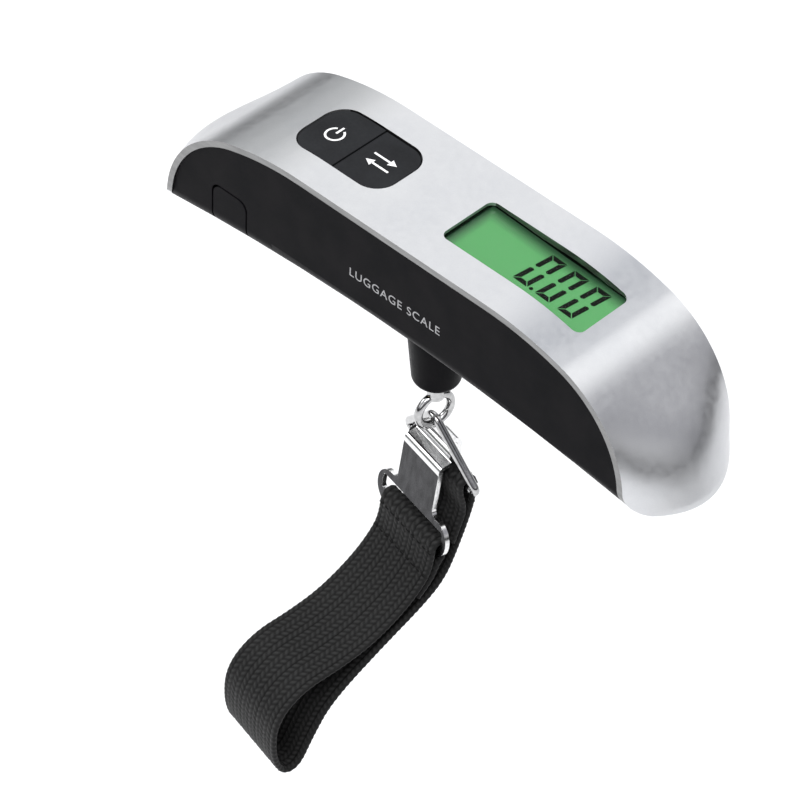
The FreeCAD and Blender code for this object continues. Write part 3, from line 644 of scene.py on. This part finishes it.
def stitching_mesh():
    """Rows of stitches across the doubled webbing, front and back."""
    along, route, tangent = even_route(ROUTE_STEP)
    places = list(FRONT_ROWS) + [along[-1] - distance for distance in BACK_ROWS]
    rows = [(distance, side) for distance in places for side in (1, -1)]
    shape = bmesh.new()
    spin = Matrix.Rotation(RING_YAW, 3, "Z")
    count = int(STRAP_WIDTH / STITCH_PITCH)
    for distance, side in rows:
        k = int(np.searchsorted(along, distance))
        up = Vector((0, -tangent[k, 1], tangent[k, 0])) * side
        point = Vector((0, route[k, 0], route[k, 1])) + up * (STRAP_THICK / 2)
        for j in range(count):
            x = STRAP_OFFSET + (j - (count - 1) / 2) * STITCH_PITCH
            place = spin @ ((point + Vector((x, 0, 0))) * MM)
            thread_stitch(shape, place, spin @ Vector((1, 0, 0)), spin @ up,
                          STITCH_PITCH * STITCH_FILL * MM, THREAD_R * MM)
    bmesh.ops.recalc_face_normals(shape, faces=shape.faces)
    mesh = bpy.data.meshes.new("stitches")
    shape.to_mesh(mesh)
    shape.free()
    return mesh


def make_strap(materials):
    strap = new_object("webbing_loop", strap_mesh(), materials["black_webbing"], smooth=60)
    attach(strap, "strap")
    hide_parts("strap")
    stitches = new_object("webbing_stitches", stitching_mesh(), materials["black_thread"], smooth=50)
    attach(stitches, "strap")
    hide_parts("strap_stitching")


# ---- stage --------------------------------------------------------------------------------------

def camera_axes():
    """The camera's right, up and backward directions."""
    ca, sa = math.cos(CAMERA_AZIMUTH), math.sin(CAMERA_AZIMUTH)
    ce, se = math.cos(CAMERA_ELEVATION), math.sin(CAMERA_ELEVATION)
    back = Vector((sa * ce, -ca * ce, se))
    right = Vector((ca, sa, 0))
    up = back.cross(right)
    cr, sr = math.cos(CAMERA_ROLL), math.sin(CAMERA_ROLL)
    return right * cr + up * sr, up * cr - right * sr, back


def make_camera():
    right, up, back = camera_axes()
    data = bpy.data.cameras.new("camera")
    data.lens, data.sensor_width = CAMERA_LENS, SENSOR_WIDTH
    data.clip_start, data.clip_end = 0.05, 20
    camera = bpy.data.objects.new("camera", data)
    bpy.context.scene.collection.objects.link(camera)
    place = CAMERA_AIM - right * CAMERA_PAN[0] - up * CAMERA_PAN[1] + back * CAMERA_DISTANCE
    camera.matrix_world = Matrix.Translation(place) @ Matrix((right, up, back)).transposed().to_4x4()
    bpy.context.scene.camera = camera


def area_light(name, place, size, power):
    """A square light of a side in metres and a power in watts, aimed at the origin."""
    data = bpy.data.lights.new(name, "AREA")
    data.shape, data.size, data.size_y = "RECTANGLE", size, size
    data.energy = power
    light = bpy.data.objects.new(name, data)
    bpy.context.scene.collection.objects.link(light)
    light.location = place
    light.rotation_euler = (-Vector(place)).to_track_quat("-Z", "Y").to_euler()


def make_world():
    """Soft bright and grey panels graded along +X, over a dark band at the horizon, for the metal."""
    world = bpy.data.worlds.new("studio")
    bpy.context.scene.world = world
    world.use_nodes = True
    tree = world.node_tree
    background = tree.nodes["Background"]
    split = tree.nodes.new("ShaderNodeSeparateXYZ")
    tree.links.new(tree.nodes.new("ShaderNodeTexCoord").outputs["Generated"], split.inputs[0])
    spread = tree.nodes.new("ShaderNodeMapRange")
    spread.inputs["From Min"].default_value, spread.inputs["From Max"].default_value = -1, 1
    tree.links.new(split.outputs[0], spread.inputs["Value"])
    ramp = tree.nodes.new("ShaderNodeValToRGB")
    tree.links.new(spread.outputs[0], ramp.inputs[0])
    ramp.color_ramp.interpolation = "EASE"
    while len(ramp.color_ramp.elements) < len(STUDIO):
        ramp.color_ramp.elements.new(0.5)
    for stop, (across, tone) in zip(ramp.color_ramp.elements, STUDIO):
        stop.position, stop.color = (across + 1) / 2, (*tone, 1)
    tree.links.new(ramp.outputs[0], background.inputs["Color"])
    lift = tree.nodes.new("ShaderNodeMapRange")
    lift.interpolation_type = "SMOOTHSTEP"
    lift.inputs["From Min"].default_value, lift.inputs["From Max"].default_value = HORIZON
    lift.inputs["To Min"].default_value, lift.inputs["To Max"].default_value = HORIZON_STRENGTH
    tree.links.new(split.outputs[2], lift.inputs["Value"])
    tree.links.new(lift.outputs[0], background.inputs["Strength"])


def make_stage():
    floor_mesh = bpy.data.meshes.new("floor")
    corners = [(x * FLOOR_REACH, y * FLOOR_REACH, FLOOR_Z) for x, y in ((-1, -1), (1, -1), (1, 1), (-1, 1))]
    floor_mesh.from_pydata(corners, [], [(0, 1, 2, 3)])
    look = Shader("pale_floor", Specular_IOR_Level=0.1)
    look.color(look.blend(look.noise(0.004, 2.0), (0.93, 0.93, 0.93), (0.95, 0.95, 0.95)))
    look.rough(look.remap(look.noise(0.01, 2.0), 0.85, 0.95))
    new_object("floor", floor_mesh, look.material)
    make_world()
    area_light("key", (0.35, -0.5, 1.1), 0.7, 12.0)
    area_light("fill", (-1.0, -0.4, 0.7), 0.6, 5.0)
    bpy.context.scene.view_settings.view_transform = "Standard"


# ---- the object ---------------------------------------------------------------------------------

def finish_nodes(materials):
    """Every CAD node gets its slot's material."""
    for node, slot in SLOTS.items():
        mesh = frame["nodes"][node].data
        mesh.materials.clear()
        mesh.materials.append(materials[slot])


def main():
    make_camera()
    make_stage()
    materials = make_materials()
    finish_nodes(materials)
    # the cover's sides take the darker grey as a painted reflection
    softened("top_cover", "cover_panel", "grip", materials, 0.28, edge="cover_side_shade", is_edge=on_cover_side)
    softened("lower_case", "case_shell", "grip", materials, 0.12, 2)
    softened("battery_door", "door_panel", "battery_door", materials, 0.15, 2)
    power_key = softened("power_key", "power_key_cap", "power_key", materials, 0.35)
    unit_key = softened("unit_key", "unit_key_cap", "unit_key", materials, 0.35)
    # the plate's cut edges in bright steel, its up-facing crest and rounds bright as a painted highlight
    softened("hook_plate", "hook_plate_steel", "strap", materials, 0.22, edge="cut_edge_and_highlight",
             is_edge=on_plate_edge, bright_rounds=True)
    key_prints(materials, power_key, unit_key)
    front_print(materials)
    display_digits(materials)
    make_strap(materials)


main()
